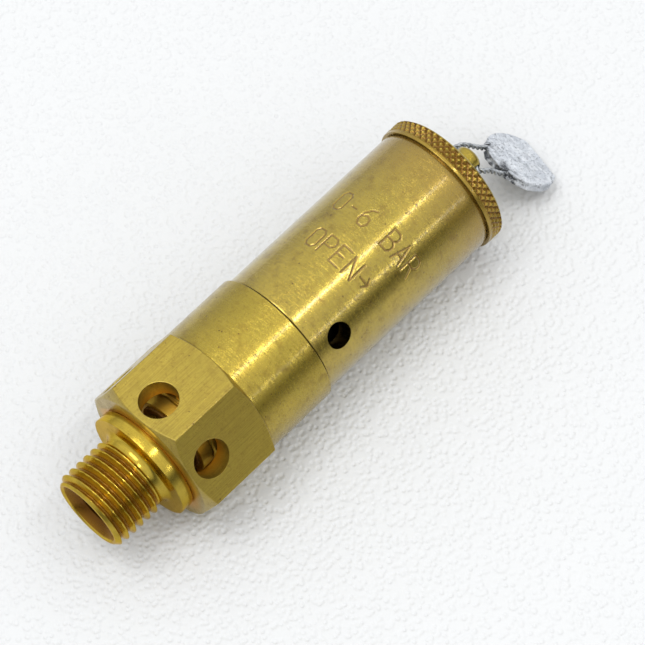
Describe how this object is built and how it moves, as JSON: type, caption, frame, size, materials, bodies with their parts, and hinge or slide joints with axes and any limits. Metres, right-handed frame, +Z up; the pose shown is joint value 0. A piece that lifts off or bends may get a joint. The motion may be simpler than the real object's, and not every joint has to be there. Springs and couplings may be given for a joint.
{
  "type": "pressure relief valve",
  "caption": "Brass spring-loaded pressure relief valve with a threaded inlet, hexagon body with radial outlets, spring housing, knurled lifting cap and a lead seal on a wire.",
  "frame": {"origin": "centre of the bounding box's underside, on the surface that the valve lies on", "axes": "+X along the valve's axis from the inlet to the cap, +Z up, with one hexagon flat down"},
  "size_m": [0.0984, 0.0278, 0.024],
  "materials": {
    "satin_brass": "satin turned brass with fine lengthwise lines",
    "turned_brass": "bright turned brass",
    "bright_steel": "ground stainless steel",
    "spring_steel": "drawn spring wire",
    "zinc_steel": "zinc-plated steel",
    "galvanised_wire": "dull galvanised twisted wire",
    "lead": "soft matt lead, dented and scuffed",
    "elastomer": "matt black",
    "white_ptfe": "matt"
  },
  "bodies": {
    "valve": {"valve_body": "satin_brass", "guide_plate": "turned_brass", "housing_gasket": "white_ptfe", "spring_housing": "satin_brass", "spring": "spring_steel", "upper_spring_plate": "zinc_steel", "thrust_washer": "zinc_steel", "adjusting_screw": "turned_brass", "guide_bush": "white_ptfe", "lock_nut": "turned_brass"},
    "lifter": {"lift_washer": "bright_steel"},
    "cap": {"lifting_cap": "satin_brass"},
    "stem": {"spindle": "bright_steel", "disc_holder": "turned_brass", "seat_disc": "elastomer", "retaining_washer": "turned_brass", "retaining_screw": "bright_steel", "spindle_pin": "bright_steel", "spring_clip": "spring_steel", "lower_spring_plate": "zinc_steel", "cap_nut": "turned_brass"},
    "seal": {"sealing_wire": "galvanised_wire", "lead_seal": "lead"}
  },
  "joints": [
    {"name": "cap_rise", "type": "slide", "parent": "valve", "child": "lifter", "axis": [1, 0, 0], "range_m": [0, 0.0015]},
    {"name": "cap_turn", "type": "hinge", "parent": "lifter", "child": "cap", "pos_m": [0.02981, 0, 0.012], "axis": [1, 0, 0], "range_deg": [0, 360]},
    {"name": "lift", "type": "slide", "parent": "lifter", "child": "stem", "axis": [1, 0, 0], "range_m": [0, 0.0015], "stiffness_N_per_m": 9000, "springref_m": -0.0033, "deforming": ["spring"]},
    {"name": "seal_swing", "type": "hinge", "parent": "stem", "child": "seal", "pos_m": [0.03541, 0, 0.012], "axis": [0, 1, 0], "range_deg": [-120, 0]}
  ],
  "couplings": [
    {"joint": "cap_turn", "follows": "cap_rise", "rad_per_m": 4188.8}
  ]
}
